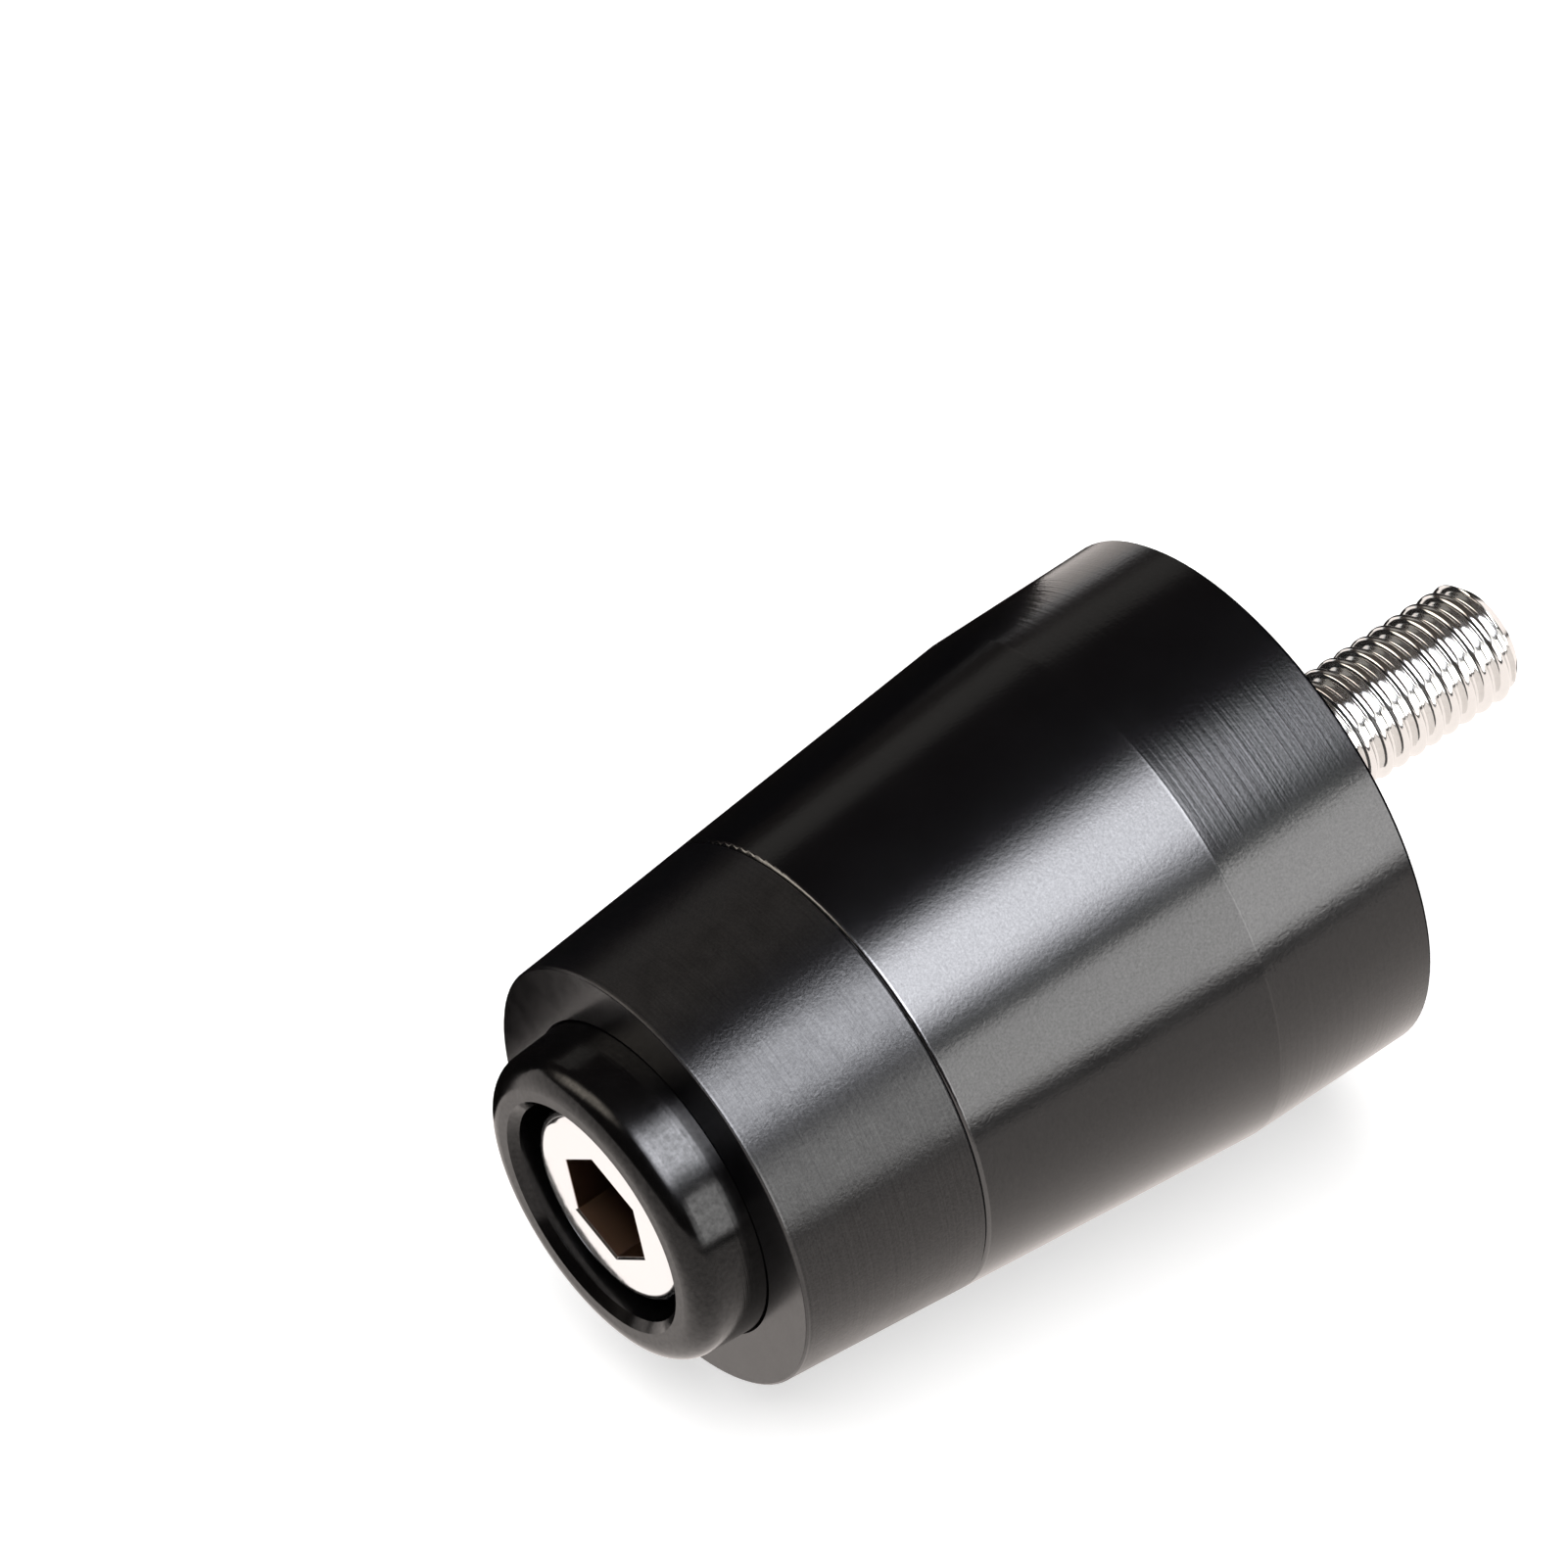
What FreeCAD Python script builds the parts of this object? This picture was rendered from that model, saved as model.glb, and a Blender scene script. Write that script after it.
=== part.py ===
import FreeCAD, Part
import os
import Sketcher

# A bar end weight for a motorcycle handlebar, in millimetres.
# The axis is X. The rear face, which seats on the bar's end, is at x = 0, and the thread points to +X.
# From the front: end cap, collar ring and weight, all clamped by one socket head bolt.

DIMENSIONS = [
    ("band_diameter", 26.6, "cylindrical band at the rear of the weight"),
    ("band_length", 8.9, "band, along the axis"),
    ("rim_chamfer", 0.15, "rear edge of the band"),
    ("body_length", 24.95, "weight, from the seam to the rear face"),
    ("collar_length", 9.65, "collar, from its front face to the seam"),
    ("seam_round", 0.25, "front edge of the weight, at the seam"),
    ("seam_chamfer", 0.1, "rear edge of the collar, at the seam"),
    ("nose_width", 2.7, "front face of the collar, around the cap"),
    ("nose_chamfer", 0.1, "front edge of the collar"),
    ("spigot_wall", 3.25, "front spigot of the weight, around the bore"),
    ("spigot_length", 1.8, "spigot, along the axis"),
    ("spigot_clearance", 0.08, "gap around the spigot in the collar"),
    ("spigot_relief", 0.2, "gap in front of the spigot"),
    ("cap_clearance", 0.1, "gap around the cap in the collar"),
    ("cap_stand", 3.6, "cap in front of the collar's face"),
    ("cap_wall", 2.45, "cap around its recess"),
    ("cap_taper", 0.25, "how much the cap's radius shrinks from the collar's face to its front"),
    ("cap_floor", 2.3, "cap floor under the bolt's head"),
    ("recess_chamfer", 0.4, "mouth of the cap's recess"),
    ("shoulder_round", 1.3, "front edge of the cap"),
    ("lead_chamfer", 0.4, "rear mouth of the bore and foot of the cap"),
    ("head_diameter", 10.0, "bolt head"),
    ("head_height", 6.0, "bolt head, along the axis"),
    ("head_round", 0.65, "top edge of the bolt head"),
    ("head_clearance", 0.65, "gap around the bolt head in the cap"),
    ("head_sink", 0.75, "bolt head below the cap's rim"),
    ("key_width", 5.0, "hexagon socket, across flats"),
    ("key_depth", 3.0, "hexagon socket, along the axis"),
    ("key_turn", 21.0, "hexagon socket, turned about the axis, in degrees"),
    ("thread_diameter", 6.0, "thread over its crests"),
    ("thread_reach", 14.5, "thread behind the rear face"),
    ("tip_chamfer", 0.6, "end of the thread"),
    ("shank_relief", 0.275, "plain shank inside the bores, below the thread's crests"),
    ("bolt_clearance", 0.3, "gap around the thread in the bores"),
]

document = FreeCAD.newDocument("bar_end_weight")
sheet = document.addObject("Spreadsheet::Sheet", "dims")
for row, (alias, number, note) in enumerate(DIMENSIONS, start=1):
    sheet.set(f"A{row}", note)
    sheet.set(f"B{row}", str(number))
    sheet.setAlias(f"B{row}", alias)
document.recompute()

# Sizes that follow from the driving ones, as formulas of the sheet.
THREAD_RADIUS = "(dims.thread_diameter / 2)"
SHANK_RADIUS = f"({THREAD_RADIUS} - dims.shank_relief)"
BORE_RADIUS = f"({THREAD_RADIUS} + dims.bolt_clearance)"
HEAD_RADIUS = "(dims.head_diameter / 2)"
RECESS_RADIUS = f"({HEAD_RADIUS} + dims.head_clearance)"
RECESS_DEPTH = "(dims.head_sink + dims.head_height)"
CAP_RADIUS = f"({RECESS_RADIUS} + dims.cap_wall)"
CAP_HEIGHT = f"({RECESS_DEPTH} + dims.cap_floor)"
CAP_FRONT_RADIUS = f"({CAP_RADIUS} - dims.cap_taper)"
CAP_SEAT_RADIUS = f"({CAP_RADIUS} + dims.cap_clearance)"
CAP_SEAT_DEPTH = f"({CAP_HEIGHT} - dims.cap_stand)"
SPIGOT_RADIUS = f"({BORE_RADIUS} + dims.spigot_wall)"
SPIGOT_POCKET_RADIUS = f"({SPIGOT_RADIUS} + dims.spigot_clearance)"
NOSE_RADIUS = f"({CAP_SEAT_RADIUS} + dims.nose_width)"
BAND_RADIUS = "(dims.band_diameter / 2)"
CONE_LENGTH = "(dims.body_length - dims.band_length)"
SEAM_SHARE = f"(dims.collar_length / (dims.collar_length + {CONE_LENGTH}))"
SEAM_RADIUS = f"({NOSE_RADIUS} + ({BAND_RADIUS} - {NOSE_RADIUS}) * {SEAM_SHARE})"
HEAD_TO_SEAT = "(dims.body_length + dims.collar_length + dims.cap_stand - dims.head_sink)"
BOLT_OVERALL = f"({HEAD_TO_SEAT} + dims.thread_reach)"

# How a sketch numbers the points of its lines and circles, its own origin and its axes.
START, END, CENTRE = range(1, 4)
H_AXIS, V_AXIS = range(-1, -3, -1)
ORIGIN = H_AXIS
HEXAGON = range(6)


def value(formula):
    """The present number of a formula of the sheet."""
    return float(sheet.evalExpression(formula))


def new_body(label, front):
    """A body whose own origin lies on the axis at the place that a formula gives."""
    body = document.addObject("PartDesign::Body", label)
    body.Label = label
    body.setExpression("Placement.Base.x", front)
    return body


def new_sketch(body, name, role):
    """A sketch on one of the body's own origin planes."""
    sketch = body.newObject("Sketcher::SketchObject", name)
    plane = next(p for p in body.Origin.OriginFeatures if p.Role == role)
    sketch.AttachmentSupport = [(plane, "")]
    sketch.MapMode = "FlatFace"
    return sketch


def hold(sketch, kind, geometry, formula):
    """Ties the first point of a line to a distance from the origin."""
    if formula == "0":
        axis = V_AXIS if kind == "DistanceX" else H_AXIS
        sketch.addConstraint(Sketcher.Constraint("PointOnObject", geometry, START, axis))
        return
    distance = Sketcher.Constraint(kind, ORIGIN, START, geometry, START, value(formula))
    index = sketch.addConstraint(distance)
    sketch.setExpression(f"Constraints[{index}]", formula)


def turned(body, outline):
    """Revolves a closed outline of axial and radial formulas about the axis."""
    sketch = new_sketch(body, f"{body.Label}_outline", "XZ_Plane")
    corners = [FreeCAD.Vector(value(x), value(r), 0) for x, r in outline]
    following = corners[1:] + corners[:1]
    for start, end in zip(corners, following):
        sketch.addGeometry(Part.LineSegment(start, end))
    for line in range(len(outline)):
        after = (line + 1) % len(outline)
        sketch.addConstraint(Sketcher.Constraint("Coincident", line, END, after, START))
    for line, (x, r) in enumerate(outline):
        hold(sketch, "DistanceX", line, x)
        hold(sketch, "DistanceY", line, r)
    feature = body.newObject("PartDesign::Revolution", f"{body.Label}_turning")
    feature.Profile = sketch
    feature.ReferenceAxis = (sketch, ["H_Axis"])
    feature.Angle = 360
    document.recompute()
    return feature


def ring(feature, x, r):
    """Name of the round edge of a feature nearest to one axial place and one radius."""
    def distance(numbered):
        curve = numbered[1].Curve
        return abs(curve.Center.x - value(x)) + abs(curve.Radius - value(r))
    edges = enumerate(feature.Shape.Edges, start=1)
    circles = [e for e in edges if e[1].Curve.TypeId == "Part::GeomCircle"]
    number, edge = min(circles, key=distance)
    return f"Edge{number}"


def eased(body, kind, name, size, x, r):
    """Chamfers or fillets the round edge at one place on the body's last feature."""
    base = body.Tip
    feature = body.newObject(f"PartDesign::{kind}", name)
    feature.Base = (base, [ring(base, x, r)])
    feature.setExpression("Size" if kind == "Chamfer" else "Radius", size)
    document.recompute()


def weight_body():
    """The weight: a front spigot, a cone that widens to the rear, a band and the bolt's bore."""
    body = new_body("weight_body", "-dims.body_length - dims.spigot_length")
    seam = "dims.spigot_length"
    rear = "(dims.spigot_length + dims.body_length)"
    turned(body, [
        ("0", BORE_RADIUS),
        ("0", SPIGOT_RADIUS),
        (seam, SPIGOT_RADIUS),
        (seam, SEAM_RADIUS),
        (f"{seam} + {CONE_LENGTH}", BAND_RADIUS),
        (rear, BAND_RADIUS),
        (rear, BORE_RADIUS),
    ])
    eased(body, "Fillet", "body_seam_edge", "dims.seam_round", seam, SEAM_RADIUS)
    eased(body, "Chamfer", "band_rear_edge", "dims.rim_chamfer", rear, BAND_RADIUS)
    eased(body, "Chamfer", "bore_mouth", "dims.lead_chamfer", rear, BORE_RADIUS)
    return body


def collar_ring():
    """The collar: the front of the cone, a seat for the cap, a web and a pocket for the spigot."""
    body = new_body("collar_ring", "-dims.body_length - dims.collar_length")
    web_rear = "(dims.collar_length - dims.spigot_length - dims.spigot_relief)"
    turned(body, [
        ("0", CAP_SEAT_RADIUS),
        ("0", NOSE_RADIUS),
        ("dims.collar_length", SEAM_RADIUS),
        ("dims.collar_length", SPIGOT_POCKET_RADIUS),
        (web_rear, SPIGOT_POCKET_RADIUS),
        (web_rear, BORE_RADIUS),
        (CAP_SEAT_DEPTH, BORE_RADIUS),
        (CAP_SEAT_DEPTH, CAP_SEAT_RADIUS),
    ])
    eased(body, "Chamfer", "nose_edge", "dims.nose_chamfer", "0", NOSE_RADIUS)
    eased(body, "Chamfer", "collar_seam_edge", "dims.seam_chamfer", "dims.collar_length", SEAM_RADIUS)
    return body


def end_cap():
    """The cap: a cup, tapered and rounded in front of the collar, which holds the bolt's head."""
    body = new_body("end_cap", "-dims.body_length - dims.collar_length - dims.cap_stand")
    turned(body, [
        ("0", RECESS_RADIUS),
        ("0", CAP_FRONT_RADIUS),
        ("dims.cap_stand", CAP_RADIUS),
        (CAP_HEIGHT, CAP_RADIUS),
        (CAP_HEIGHT, BORE_RADIUS),
        (RECESS_DEPTH, BORE_RADIUS),
        (RECESS_DEPTH, RECESS_RADIUS),
    ])
    eased(body, "Chamfer", "recess_mouth", "dims.recess_chamfer", "0", RECESS_RADIUS)
    eased(body, "Fillet", "shoulder", "dims.shoulder_round", "0", CAP_FRONT_RADIUS)
    eased(body, "Chamfer", "cap_foot", "dims.lead_chamfer", CAP_HEIGHT, CAP_RADIUS)
    return body


def key_socket(body):
    """Cuts the hexagon socket into the bolt's head, along the axis from its top."""
    sketch = new_sketch(body, "key_outline", "YZ_Plane")
    corner_radius = "dims.key_width / sqrt(3)"
    corners = []
    for side in HEXAGON:
        turn = FreeCAD.Rotation(FreeCAD.Vector(0, 0, 1), 360 * side / len(HEXAGON))
        corners.append(turn.multVec(FreeCAD.Vector(value(corner_radius), 0, 0)))
    for start, end in zip(corners, corners[1:] + corners[:1]):
        sketch.addGeometry(Part.LineSegment(start, end))
    circle = Part.Circle(FreeCAD.Vector(0, 0, 0), FreeCAD.Vector(0, 0, 1), value(corner_radius))
    guide = sketch.addGeometry(circle, True)
    for side in HEXAGON:
        after = (side + 1) % len(HEXAGON)
        sketch.addConstraint(Sketcher.Constraint("Coincident", side, END, after, START))
        sketch.addConstraint(Sketcher.Constraint("PointOnObject", side, START, guide))
        if side:
            sketch.addConstraint(Sketcher.Constraint("Equal", 0, side))
    sketch.addConstraint(Sketcher.Constraint("Coincident", guide, CENTRE, ORIGIN, START))
    sketch.addConstraint(Sketcher.Constraint("PointOnObject", 0, START, H_AXIS))
    radius = sketch.addConstraint(Sketcher.Constraint("Radius", guide, value(corner_radius)))
    sketch.setExpression(f"Constraints[{radius}]", corner_radius)
    solid = body.Tip.Shape.Volume
    socket = body.newObject("PartDesign::Pocket", "key_socket")
    socket.Profile = sketch
    socket.Reversed = True
    socket.setExpression("Length", "dims.key_depth")
    document.recompute()
    if not socket.Shape.Volume < solid:
        raise ValueError("the key socket cuts nothing")


def socket_bolt():
    """The bolt: a socket head, a shank in the bores and a thread, plain at its outer diameter."""
    body = new_body("socket_bolt", f"-{HEAD_TO_SEAT}")
    body.Placement.Rotation = FreeCAD.Rotation(FreeCAD.Vector(1, 0, 0), 1)
    body.setExpression("Placement.Rotation.Angle", "dims.key_turn * 1 deg")
    turned(body, [
        ("0", "0"),
        ("0", HEAD_RADIUS),
        ("dims.head_height", HEAD_RADIUS),
        ("dims.head_height", SHANK_RADIUS),
        (HEAD_TO_SEAT, SHANK_RADIUS),
        (HEAD_TO_SEAT, THREAD_RADIUS),
        (BOLT_OVERALL, THREAD_RADIUS),
        (BOLT_OVERALL, "0"),
    ])
    eased(body, "Fillet", "head_edge", "dims.head_round", "0", HEAD_RADIUS)
    eased(body, "Chamfer", "thread_tip", "dims.tip_chamfer", BOLT_OVERALL, THREAD_RADIUS)
    key_socket(body)
    return body


nodes = [weight_body(), collar_ring(), end_cap(), socket_bolt()]
document.recompute()

for item in document.Objects:
    if "Invalid" in item.State or "Error" in item.State:
        raise ValueError(f"{item.Label} failed: {item.State}")
for node in nodes:
    if node.Shape.isNull() or not node.Shape.isValid() or len(node.Shape.Solids) != 1:
        raise ValueError(f"{node.Label} is not one valid solid")

os.makedirs("parts", exist_ok=True)
for node in nodes:
    node.Shape.exportStep(f"parts/{node.Label}.step")
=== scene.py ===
import math

import bpy
from mathutils import Matrix, Vector


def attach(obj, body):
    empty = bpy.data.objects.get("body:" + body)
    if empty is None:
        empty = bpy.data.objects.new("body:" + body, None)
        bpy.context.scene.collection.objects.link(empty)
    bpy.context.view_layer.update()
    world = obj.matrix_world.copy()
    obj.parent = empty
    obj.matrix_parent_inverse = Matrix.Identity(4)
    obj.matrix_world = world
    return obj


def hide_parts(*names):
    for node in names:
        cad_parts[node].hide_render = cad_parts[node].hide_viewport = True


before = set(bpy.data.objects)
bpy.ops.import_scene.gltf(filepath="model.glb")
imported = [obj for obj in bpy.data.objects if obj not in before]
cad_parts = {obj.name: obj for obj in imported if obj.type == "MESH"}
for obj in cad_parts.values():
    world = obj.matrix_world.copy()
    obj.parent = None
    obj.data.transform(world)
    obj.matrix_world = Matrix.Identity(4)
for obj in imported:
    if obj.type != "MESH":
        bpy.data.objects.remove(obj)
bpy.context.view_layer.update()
scene = bpy.context.scene
scene.view_settings.view_transform = "Standard"
MM = 0.001

# Sizes in millimetres, as in the solids. The axis is X, the rear face is at 0 and the thread points to +X.
CAP_FRONT = -38.2
NOSE_FRONT = -34.6
NOSE_RADIUS = 10.9
SEAM = -24.95
BAND_FRONT = -8.9
BAND_RADIUS = 13.3
RIM_CHAMFER = 0.15

# The bolt
HEAD_TOP = -37.45
HEAD_HEIGHT = 6.0
HEAD_RADIUS = 5.0
HEAD_ROUND = 0.65
HEAD_CHAMFER = 0.1
KEY_WIDTH = 5.0
KEY_DEPTH = 3.0
KEY_EDGE = 0.12
KEY_TURN = math.radians(21)
KEY_CENTRE = 0.02
SHANK_RADIUS = 2.725
SHANK_FILLET = 0.2
SHANK_END_RADIUS = 1.0
THREAD_RADIUS = 3.0
THREAD_PITCH = 1.0
THREAD_START = -0.6
# Half of the thread's profile: shares of the pitch from the middle of the crest, and depths below it.
THREAD_PROFILE = [(0.0, 0.0), (0.055, 0.004), (0.11, 0.02), (0.165, 0.05), (0.22, 0.1), (0.27, 0.175),
                  (0.32, 0.28), (0.365, 0.4), (0.4, 0.46), (0.44, 0.487), (0.5, 0.5)]
TIP = 14.5
TIP_CHAMFER = 0.6
AROUND = 96
ROUND_STEPS = 8
SHARP_ANGLE = math.radians(28)

# Depth of the bumps for a height of 1, in metres
SKIN_DEPTH = 0.006 * MM
PLATING_DEPTH = 0.004 * MM


# Shader helpers

class Shader:
    """A procedural material or world, built node by node."""

    def __init__(self, tree):
        self.tree = tree
        self.nodes = tree.nodes

    def give(self, socket, value):
        """Sets an input to a number, a colour or another node's output."""
        if isinstance(value, bpy.types.NodeSocket):
            self.tree.links.new(value, socket)
        else:
            socket.default_value = value

    def node(self, kind, inputs=None, **settings):
        made = self.nodes.new(kind)
        for key, value in settings.items():
            setattr(made, key, value)
        for key, value in (inputs or {}).items():
            self.give(made.inputs[key], value)
        return made

    def math(self, operation, a, b=0.0, c=0.0):
        return self.node("ShaderNodeMath", {0: a, 1: b, 2: c}, operation=operation).outputs[0]

    def times(self, a, b):
        return self.math("MULTIPLY", a, b)

    def total(self, *terms):
        """The sum of values, each times its weight."""
        result = 0.0
        for value, weight in terms:
            result = self.math("MULTIPLY_ADD", value, weight, result)
        return result

    def range(self, value, low, high, to_low=0.0, to_high=1.0, smooth=True):
        """A value brought from one range to another, and held at its ends."""
        kind = "SMOOTHSTEP" if smooth else "LINEAR"
        inputs = {"Value": value, "From Min": low, "From Max": high, "To Min": to_low, "To Max": to_high}
        return self.node("ShaderNodeMapRange", inputs, interpolation_type=kind).outputs["Result"]

    def patchy(self, noise, low, high):
        """A noise brought to this range, with soft ends."""
        return self.range(noise, 0.3, 0.7, low, high)

    def speckled(self, noise, low, high):
        """A noise brought to this range evenly."""
        return self.range(noise, 0.25, 0.75, low, high, smooth=False)

    def mix(self, factor, a, b):
        """Colours a and b mixed."""
        made = self.node("ShaderNodeMix", data_type="RGBA")
        for index, value in ((0, factor), (6, a), (7, b)):
            self.give(made.inputs[index], value)
        return made.outputs[2]

    def noise(self, vector, scale, detail=2.0, roughness=0.5):
        inputs = {"Vector": vector, "Scale": scale, "Detail": detail, "Roughness": roughness}
        return self.node("ShaderNodeTexNoise", inputs).outputs["Fac"]

    def lines(self, along, scale, detail=3.0, roughness=0.6):
        """A noise that changes along one length only, as tool marks on a lathe do."""
        inputs = {"W": along, "Scale": scale, "Detail": detail, "Roughness": roughness}
        return self.node("ShaderNodeTexNoise", inputs, noise_dimensions="1D").outputs["Fac"]

    def bump(self, height, depth):
        return self.node("ShaderNodeBump", {"Height": height, "Distance": depth}).outputs["Normal"]

    def finish(self, surface):
        """Makes a node's output the material's surface."""
        self.tree.links.new(surface, self.nodes["Material Output"].inputs["Surface"])


class Material(Shader):
    """A Principled material with its object coordinates in millimetres at hand."""

    def __init__(self, name):
        self.material = bpy.data.materials.new(name)
        self.material.use_nodes = True
        super().__init__(self.material.node_tree)
        self.surface = self.nodes["Principled BSDF"]
        place = self.node("ShaderNodeTexCoord").outputs["Object"]
        inputs = {0: place, "Scale": 1 / MM}
        self.place = self.node("ShaderNodeVectorMath", inputs, operation="SCALE").outputs["Vector"]
        self.x, y, z = self.node("ShaderNodeSeparateXYZ", {0: self.place}).outputs
        self.radius = self.math("SQRT", self.total((y, y), (z, z)))

    def set(self, **values):
        for key, value in values.items():
            self.give(self.surface.inputs[key.replace("_", " ")], value)


def bare_material(name):
    """A material with no surface yet, and its shader."""
    material = bpy.data.materials.new(name)
    material.use_nodes = True
    shader = Shader(material.node_tree)
    shader.nodes.remove(shader.nodes["Principled BSDF"])
    return material, shader


def paint(node, material):
    """Gives a CAD node its material."""
    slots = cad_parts[node].data.materials
    slots.clear()
    slots.append(material.material)


# Materials

def weight_material():
    """Black anodised aluminium: a satin cone, and a band and a rear face with stronger lathe marks."""
    m = Material("anodised_satin_black")
    band = m.range(m.x, BAND_FRONT - 0.03, BAND_FRONT + 0.03)
    seat = m.range(m.x, -0.03, -0.01)
    grain = m.noise(m.place, 5.0, 2.0, 0.6)
    speckle = m.noise(m.place, 9.0, 2.0, 0.7)
    patches = m.noise(m.place, 0.35)
    marks = m.lines(m.x, 5.0)
    band_marks = m.times(m.lines(m.x, 4.0, 2.0), band)
    seat_marks = m.times(m.lines(m.radius, 4.0, 2.0), seat)
    height = m.total((grain, 0.9), (marks, 0.15), (band_marks, 1.2), (seat_marks, 1.5))
    rough = m.total((m.patchy(patches, 0.16, 0.18), 1.0), (grain, 0.03))
    colour = m.mix(patches, (0.0014, 0.0015, 0.0022, 1), (0.0022, 0.0023, 0.003, 1))
    m.set(Base_Color=colour, Roughness=rough, IOR=1.5, Normal=m.bump(height, SKIN_DEPTH))
    # Painted highlights: more gloss on thin strips at the seam's edge and at the cone's rear edge.
    seam_painted_glint = m.range(m.x, SEAM + 0.2, SEAM + 0.27, 1.0, 0.0)
    cone_edge_painted_glint = m.math("SUBTRACT", m.range(m.x, BAND_FRONT - 0.14, BAND_FRONT - 0.08), band)
    gloss = m.total((m.speckled(speckle, 0.4, 0.6), 1.0), (seam_painted_glint, 0.6), (cone_edge_painted_glint, 0.15))
    # Painted shade: the chamfer at the rear gets no gloss, so it shows as a black line.
    rear = m.range(m.x, -RIM_CHAMFER - 0.05, -RIM_CHAMFER)
    outside = m.range(m.radius, BAND_RADIUS - RIM_CHAMFER - 0.02, BAND_RADIUS - RIM_CHAMFER)
    m.set(Specular_IOR_Level=m.times(gloss, m.range(m.times(rear, outside), 0.0, 1.0, 1.0, 0.0)))
    return m


def collar_material():
    """Black anodised aluminium with a duller, speckled skin and a smoother front face."""
    m = Material("anodised_matte_black")
    face = m.range(m.x, NOSE_FRONT + 0.02, NOSE_FRONT + 0.05, 1.0, 0.0)
    # Painted highlight: more gloss on a thin strip along the front face's edge.
    front_edge_painted_glint = m.range(m.x, NOSE_FRONT + 0.16, NOSE_FRONT + 0.22, 1.0, 0.0)
    grain = m.noise(m.place, 5.0, 2.0, 0.65)
    speckle = m.noise(m.place, 8.0, 3.0, 0.75)
    rings = m.lines(m.x, 7.0, 2.0, 0.7)
    patches = m.noise(m.place, 0.9, 3.0)
    marks = m.lines(m.x, 6.0, 4.0)
    height = m.times(m.total((grain, 1.5), (marks, 0.5)), m.range(face, 0.0, 1.0, 1.0, 0.3))
    rough = m.total((m.patchy(patches, 0.34, 0.38), 1.0), (face, -0.12))
    gloss = m.total((m.speckled(speckle, 0.25, 0.55), 1.0), (m.speckled(rings, 0.02, 0.16), 1.0),
                    (front_edge_painted_glint, 0.25), (face, -0.25))
    colour = m.mix(patches, (0.002, 0.002, 0.0028, 1), (0.0035, 0.0035, 0.0045, 1))
    around = m.node("ShaderNodeTangent", direction_type="RADIAL", axis="X").outputs[0]
    m.set(Base_Color=colour, Roughness=rough, IOR=1.5, Specular_IOR_Level=gloss)
    m.set(Normal=m.bump(height, SKIN_DEPTH), Tangent=around)
    m.set(Anisotropic=m.range(face, 0.0, 1.0, 0.88, 0.0), Anisotropic_Rotation=0.25)
    return m


def cap_material():
    """Glossy black anodised aluminium with lathe marks round its side."""
    m = Material("anodised_gloss_black")
    side = m.range(m.x, CAP_FRONT + 1.2, CAP_FRONT + 1.7)
    grain = m.noise(m.place, 8.0)
    speckle = m.noise(m.place, 4.0, 3.0, 0.65)
    patches = m.noise(m.place, 0.8)
    marks = m.times(m.lines(m.x, 7.0, 2.0), side)
    height = m.total((grain, 0.1), (marks, 0.4))
    colour = m.mix(patches, (0.002, 0.0019, 0.0022, 1), (0.003, 0.0028, 0.003, 1))
    m.set(Base_Color=colour, Roughness=m.patchy(patches, 0.14, 0.18), IOR=1.38)
    m.set(Specular_IOR_Level=m.speckled(speckle, 0.28, 0.6), Normal=m.bump(height, SKIN_DEPTH))
    return m


def bolt_material():
    """Bright nickel plating over steel, with a duller and darker key socket."""
    m = Material("bright_plated_steel")
    grain = m.noise(m.place, 3.0, 3.0)
    streaks = m.noise(m.place, 14.0)
    height = m.total((grain, 0.5), (streaks, 0.2))
    below_top = m.range(m.x, HEAD_TOP + 0.5 * KEY_EDGE, HEAD_TOP + KEY_EDGE)
    above_floor = m.range(m.x, HEAD_TOP + KEY_DEPTH + 0.1, HEAD_TOP + KEY_DEPTH + 0.2, 1.0, 0.0)
    within = m.range(m.radius, KEY_WIDTH / 2 + 0.6, KEY_WIDTH / 2 + 0.7, 1.0, 0.0)
    socket = m.times(m.times(below_top, above_floor), within)
    head = m.range(m.x, HEAD_TOP + HEAD_HEIGHT, HEAD_TOP + HEAD_HEIGHT + 1.0, 1.0, 0.0)
    rough = m.total((m.patchy(grain, 0.07, 0.12), 1.0), (socket, 0.35))
    colour = m.mix(grain, (0.75, 0.745, 0.735, 1), (0.81, 0.805, 0.795, 1))
    colour = m.mix(head, colour, (0.86, 0.87, 0.88, 1))
    colour = m.mix(socket, colour, (0.09, 0.05, 0.03, 1))
    m.set(Base_Color=colour, Metallic=0.97, Roughness=rough, Normal=m.bump(height, PLATING_DEPTH))
    return m


# The bolt, with its helical thread

def ring(x, radius, start=KEY_TURN, six_sided=False):
    """A closed ring of points. A six-sided one starts at a corner, and its radius is to its sides."""
    sector = math.pi / 3
    points = []
    for step in range(AROUND):
        turn = 2 * math.pi * step / AROUND
        r = radius / math.cos(turn % sector - sector / 2) if six_sided else radius
        points.append((x, r * math.cos(start + turn), r * math.sin(start + turn)))
    return points


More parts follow.
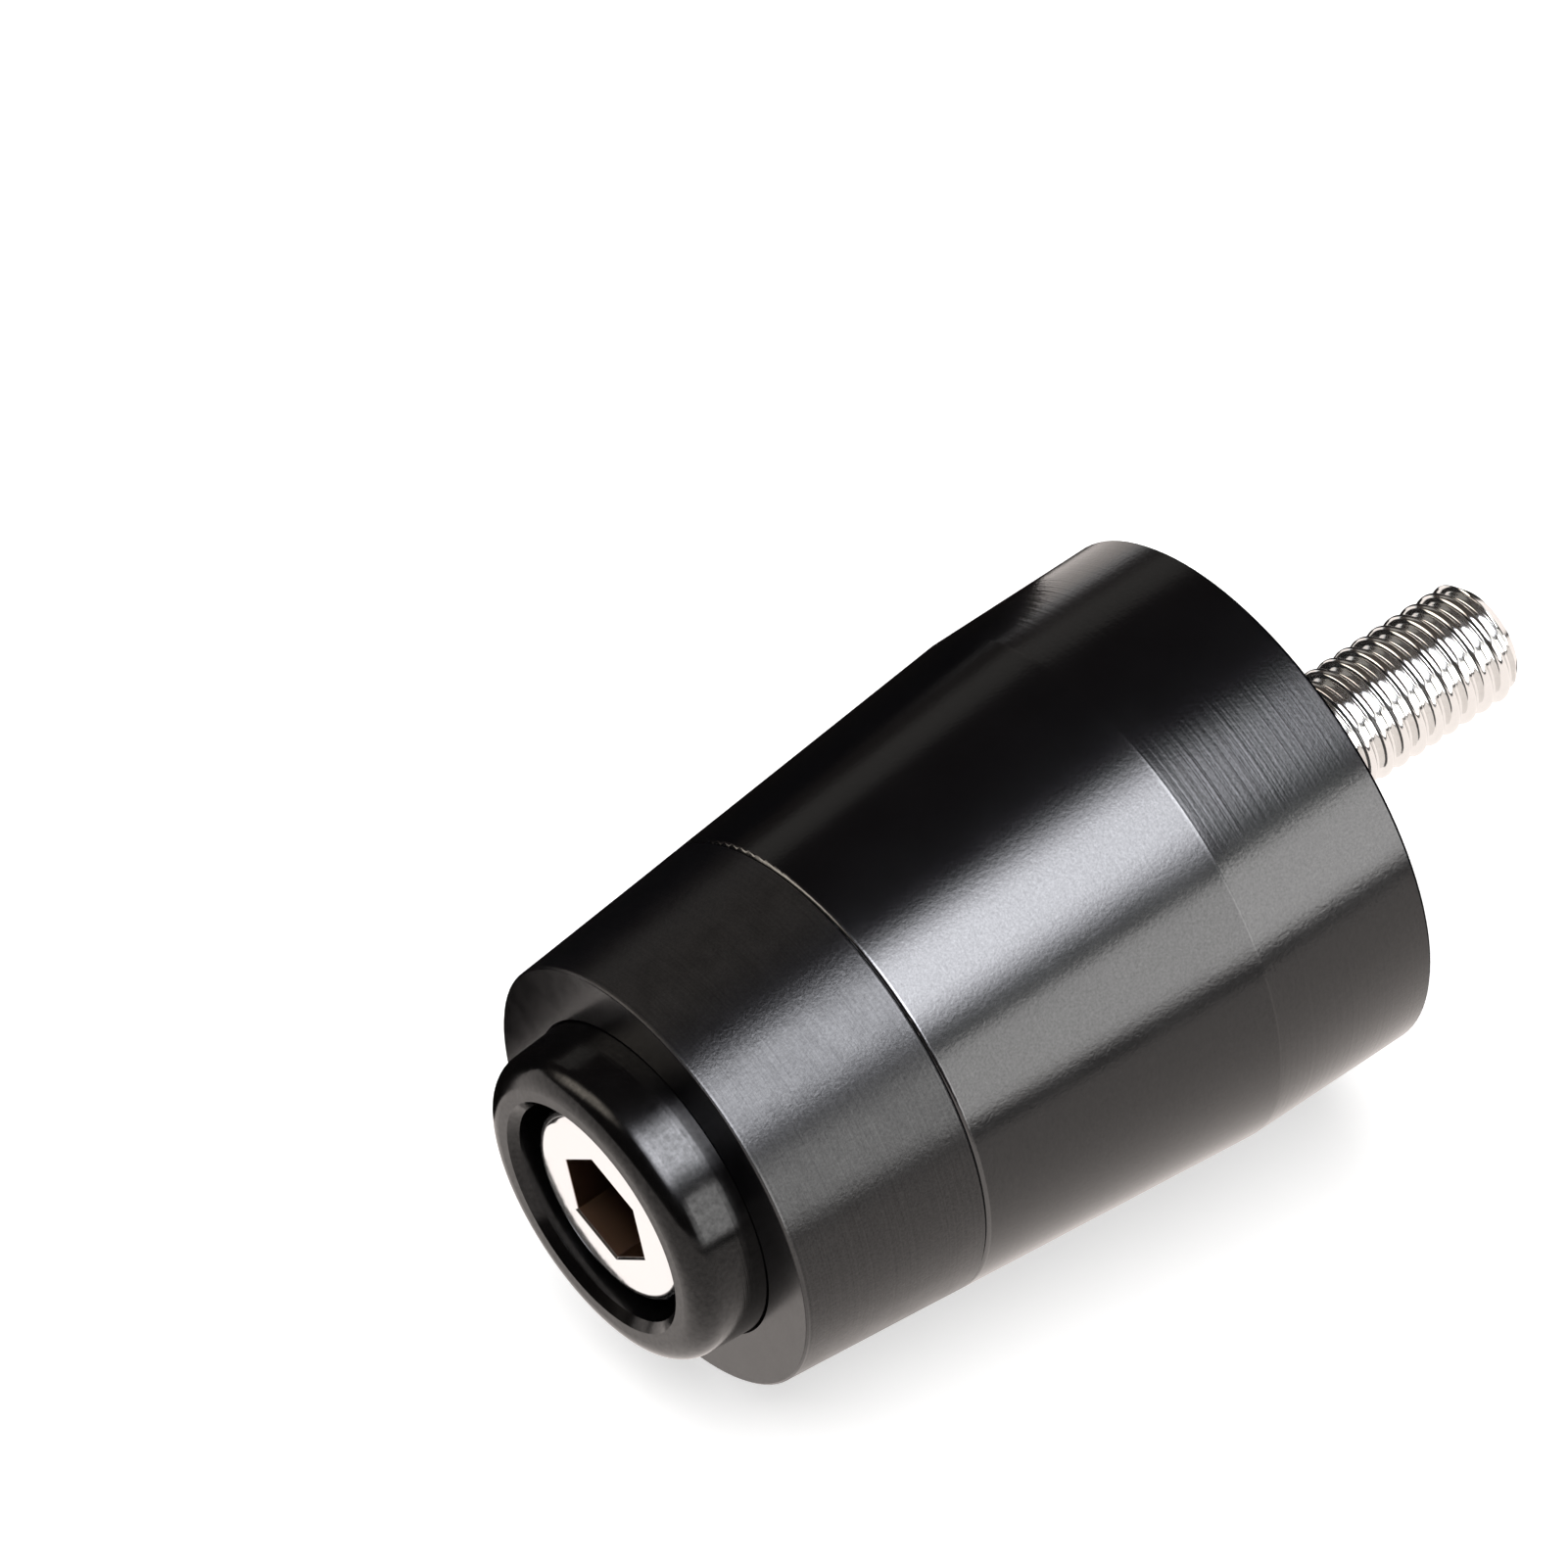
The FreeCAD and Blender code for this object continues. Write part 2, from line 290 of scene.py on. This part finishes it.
def bolt_rings():
    """Rings from the floor of the key's socket, over the head, to the end of the shank."""
    under = HEAD_TOP + HEAD_HEIGHT
    floor = HEAD_TOP + KEY_DEPTH
    rings = [
        ring(floor, KEY_CENTRE),
        ring(floor, KEY_WIDTH / 2, six_sided=True),
        ring(HEAD_TOP + KEY_EDGE, KEY_WIDTH / 2, six_sided=True),
        ring(HEAD_TOP, KEY_WIDTH / 2 + KEY_EDGE, six_sided=True),
    ]
    for step in range(ROUND_STEPS + 1):
        turn = math.pi / 2 * step / ROUND_STEPS
        x = HEAD_TOP + HEAD_ROUND * (1 - math.cos(turn))
        rings.append(ring(x, HEAD_RADIUS - HEAD_ROUND * (1 - math.sin(turn))))
    rings += [
        ring(under - HEAD_CHAMFER, HEAD_RADIUS),
        ring(under, HEAD_RADIUS - HEAD_CHAMFER),
        ring(under, SHANK_RADIUS + SHANK_FILLET),
        ring(under + SHANK_FILLET, SHANK_RADIUS),
        ring(THREAD_START, SHANK_RADIUS),
        ring(THREAD_START, SHANK_END_RADIUS),
    ]
    return rings


def thread_lines():
    """Helical lines of points from one root over the crest to the next root, one list per line."""
    root = THREAD_RADIUS - THREAD_PROFILE[-1][1]
    rise = [(0.5 - share, depth) for share, depth in reversed(THREAD_PROFILE)]
    fall = [(0.5 + share, depth) for share, depth in THREAD_PROFILE[1:]]
    turns = math.ceil((TIP - THREAD_START) / THREAD_PITCH) + 3
    lines = []
    for share, depth in rise + fall:
        line = []
        for step in range(turns * AROUND + 1):
            angle = 2 * math.pi * step / AROUND
            x = THREAD_START + THREAD_PITCH * (step / AROUND + share - 1)
            x = min(max(x, THREAD_START), TIP)
            top = THREAD_RADIUS - max(0.0, x - (TIP - TIP_CHAMFER))
            r = min(THREAD_RADIUS - depth, top) if x > THREAD_START else root
            line.append((x, r * math.cos(angle), r * math.sin(angle)))
        lines.append(line)
    return lines


def add_grid(points, faces, rows, closed):
    """Adds rows of points, joined by four-sided faces, to a mesh's lists."""
    start = len(points)
    width = len(rows[0])
    for row in rows:
        points.extend(row)
    for row in range(len(rows) - 1):
        for column in range(width if closed else width - 1):
            after = (column + 1) % width
            a, b = start + row * width + column, start + row * width + after
            faces.append((a, b, b + width, a + width))


def make_bolt():
    points, faces = [], []
    add_grid(points, faces, bolt_rings(), closed=True)
    add_grid(points, faces, thread_lines(), closed=False)
    faces.append(tuple(range(len(points), len(points) + AROUND)))
    points.extend(ring(TIP, THREAD_RADIUS - TIP_CHAMFER, start=0.0))
    mesh = bpy.data.meshes.new("bolt_with_thread")
    mesh.from_pydata([tuple(c * MM for c in point) for point in points], [], faces)
    mesh.validate()
    mesh.shade_smooth()
    mesh.set_sharp_from_angle(angle=SHARP_ANGLE)
    bolt = bpy.data.objects.new("bolt_with_thread", mesh)
    scene.collection.objects.link(bolt)
    return bolt


paint("weight_body", weight_material())
paint("collar_ring", collar_material())
paint("end_cap", cap_material())
plated = bolt_material()
paint("socket_bolt", plated)
bolt = make_bolt()
bolt.data.materials.append(plated.material)
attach(bolt, "root")
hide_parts("socket_bolt")


# Floor and light, in metres. The part lies on the side of its cone.

FLOOR_TILT = math.atan2(BAND_RADIUS - NOSE_RADIUS, BAND_FRONT - NOSE_FRONT)
FLOOR_REACH = 3.0
FLOOR_COLOUR = (0.75, 0.745, 0.74, 1)
FLOOR_LIFT = 0.66
FLOOR_IN_GLOSS = {"Color": (1.0, 0.92, 0.875, 1), "Strength": 1.2}
SOFTBOX_AIM = Vector((-0.018, 0, 0))
# Shares of a softbox's half height and half width that glow at full strength
FULL_HEIGHT = 0.2
FULL_WIDTH = 0.3
FLAG_COLOUR = (0.012, 0.01, 0.009, 1)
FILL_SIZE = 1.6
FILL_RADIANCE = 2.2
FILL_HEIGHT = 1.0
SKY_WHITE = (1, 1, 1, 1)
SKY_DARK = (0.045, 0.034, 0.027, 1)


def add_card(name, corners, material):
    """A four-sided card in the scene."""
    mesh = bpy.data.meshes.new(name)
    mesh.from_pydata(corners, [], [(0, 1, 2, 3)])
    mesh.materials.append(material)
    card = bpy.data.objects.new(name, mesh)
    scene.collection.objects.link(card)
    return card


def rectangle(a, b):
    """Corners of a rectangle with these half sides."""
    return [(-a, -b, 0), (a, -b, 0), (a, b, 0), (-a, b, 0)]


def show_in_gloss_only(card):
    card.visible_camera = False
    card.visible_diffuse = False
    card.visible_shadow = False


def make_floor():
    """A matte floor with the part's shadow, lifted to white for the camera, and plain white in gloss."""
    material, shader = bare_material("white_floor")
    path = shader.node("ShaderNodeLightPath").outputs
    mirrored = shader.math("MAXIMUM", path["Is Glossy Ray"], path["Is Transmission Ray"])
    matte = shader.node("ShaderNodeBsdfDiffuse", {"Color": FLOOR_COLOUR}).outputs[0]
    lift = shader.times(path["Is Camera Ray"], FLOOR_LIFT)
    glow = shader.node("ShaderNodeEmission", {"Color": (1, 1, 1, 1), "Strength": lift}).outputs[0]
    seen = shader.node("ShaderNodeAddShader", {0: matte, 1: glow}).outputs[0]
    white = shader.node("ShaderNodeEmission", FLOOR_IN_GLOSS).outputs[0]
    shader.finish(shader.node("ShaderNodeMixShader", {0: mirrored, 1: seen, 2: white}).outputs[0])
    floor = add_card("floor", rectangle(FLOOR_REACH, FLOOR_REACH), material)
    floor.location = (BAND_FRONT * MM, 0, -BAND_RADIUS * MM)
    floor.rotation_euler = (0, FLOOR_TILT, 0)


def make_softbox(name, towards, across, width, height, radiance, colour,
                 end_fall=0.0, side_fall=0.0, distance=0.7):
    """A glowing rectangle that only gloss shows. It faces the part and dims to its ends and to its sides."""
    back = Vector(towards).normalized()
    side = Vector(across)
    side = (side - side.dot(back) * back).normalized()
    up = back.cross(side)
    a, b = width / 2, height / 2
    material, shader = bare_material(name)
    place = shader.node("ShaderNodeTexCoord").outputs["Object"]
    parts = shader.node("ShaderNodeSeparateXYZ", {0: place}).outputs
    aside = shader.math("ABSOLUTE", parts[0])
    along = shader.math("ABSOLUTE", parts[1])
    strength = shader.range(along, FULL_HEIGHT * b, b, radiance, radiance * (1 - end_fall))
    strength = shader.times(strength, shader.range(aside, FULL_WIDTH * a, a, 1.0, 1.0 - side_fall))
    shader.finish(shader.node("ShaderNodeEmission", {"Color": (*colour, 1), "Strength": strength}).outputs[0])
    box = add_card(name, rectangle(a, b), material)
    turn = Matrix((side, up, back)).transposed().to_4x4()
    box.matrix_world = Matrix.Translation(SOFTBOX_AIM + back * distance) @ turn
    show_in_gloss_only(box)


def make_flag(name, corners):
    """A black card, which keeps white out of the reflections. Its corners are in millimetres."""
    material = bpy.data.materials.new(name)
    material.use_nodes = True
    surface = material.node_tree.nodes["Principled BSDF"].inputs
    surface["Base Color"].default_value = FLAG_COLOUR
    surface["Specular IOR Level"].default_value = 0.0
    card = add_card(name, [tuple(c * MM for c in corner) for corner in corners], material)
    show_in_gloss_only(card)


def make_fill():
    """One wide lamp overhead, which lights what isn't glossy."""
    lamp = bpy.data.lights.new("fill_light", "AREA")
    lamp.shape = "SQUARE"
    lamp.size = FILL_SIZE
    lamp.energy = FILL_RADIANCE * math.pi * FILL_SIZE ** 2
    holder = bpy.data.objects.new("fill_light", lamp)
    holder.location = (0, 0, FILL_HEIGHT)
    holder.visible_glossy = False
    scene.collection.objects.link(holder)


def make_world():
    """A dark studio above a white horizon."""
    world = bpy.data.worlds.new("studio")
    scene.world = world
    world.use_nodes = True
    shader = Shader(world.node_tree)
    direction = shader.node("ShaderNodeTexCoord").outputs["Generated"]
    height = shader.node("ShaderNodeSeparateXYZ", {0: direction}).outputs[2]
    colour = shader.mix(shader.range(height, 0.02, 0.08), SKY_WHITE, SKY_DARK)
    shader.give(shader.nodes["Background"].inputs["Color"], colour)


make_floor()
make_softbox("key_light", (0.0, -0.468, 0.884), (0, -0.884, -0.468), width=0.645, height=0.72,
             radiance=21.0, colour=(0.93, 0.94, 1.0), end_fall=0.8, side_fall=0.9)
make_softbox("side_light", (0.577, -0.974, 0.2257), (0, -0.226, -0.974), width=0.44, height=1.1,
             radiance=6.8, colour=(1.0, 0.99, 0.98), end_fall=0.8)
make_softbox("back_light", (-0.5, 0.56, 0.66), (0, 0.76, -0.65), width=0.8, height=0.42,
             radiance=4.2, colour=(1.0, 0.9, 0.78), end_fall=0.9, side_fall=0.8)
make_softbox("wall_light", (0.386, 0.84, 0.38), (0, 0.41, -0.91), width=0.2, height=0.5,
             radiance=0.3, colour=(1.0, 0.94, 0.86))
make_softbox("gap_card", (0.4, -0.748, 0.53), (0, -0.578, -0.816), width=0.12, height=1.1,
             radiance=0.45, colour=(1.0, 1.0, 1.0), distance=0.85)
make_softbox("end_light", (0.9, -0.36, 0.15), (0, -0.38, -0.92), width=0.28, height=0.5,
             radiance=1.3, colour=(1.0, 0.98, 0.95))
make_flag("back_flag", [(-46, 17, -12.5), (4, 17, -12.5), (4, 30, 13), (-46, 30, 13)])
make_flag("thread_flag", [(4, 4, -12.5), (45, 4, -12.5), (45, 40, -12.5), (4, 40, -12.5)])
make_flag("thread_wall", [(17, 40, -13), (110, 40, -13), (110, 40, 8), (17, 40, 8)])
make_flag("side_flag", [(-200, -95, -14), (200, -95, -14), (200, -95, -4), (-200, -95, -4)])
make_fill()
make_world()


# Camera. Its place is given from the middle of the collar's front face, to the right, up and back, in metres.

CAMERA_RIGHT = Vector((0.7754, -0.62629, -0.08077))
CAMERA_BACK = Vector((-0.38642, -0.57176, 0.72371))
CAMERA_PLACE = (0.00585, 0.017648, 0.70314)
SENSOR_WIDTH = 36.0
LENS = 359.8
CLIP_START = 0.05
CLIP_END = 20.0


def make_camera():
    back = CAMERA_BACK.normalized()
    up = back.cross(CAMERA_RIGHT).normalized()
    right = up.cross(back)
    data = bpy.data.cameras.new("camera")
    data.sensor_fit = "HORIZONTAL"
    data.sensor_width = SENSOR_WIDTH
    data.lens = LENS
    data.clip_start = CLIP_START
    data.clip_end = CLIP_END
    camera = bpy.data.objects.new("camera", data)
    place = Vector((NOSE_FRONT * MM, 0, 0))
    for direction, length in zip((right, up, back), CAMERA_PLACE):
        place += direction * length
    camera.matrix_world = Matrix.Translation(place) @ Matrix((right, up, back)).transposed().to_4x4()
    scene.collection.objects.link(camera)
    scene.camera = camera


make_camera()
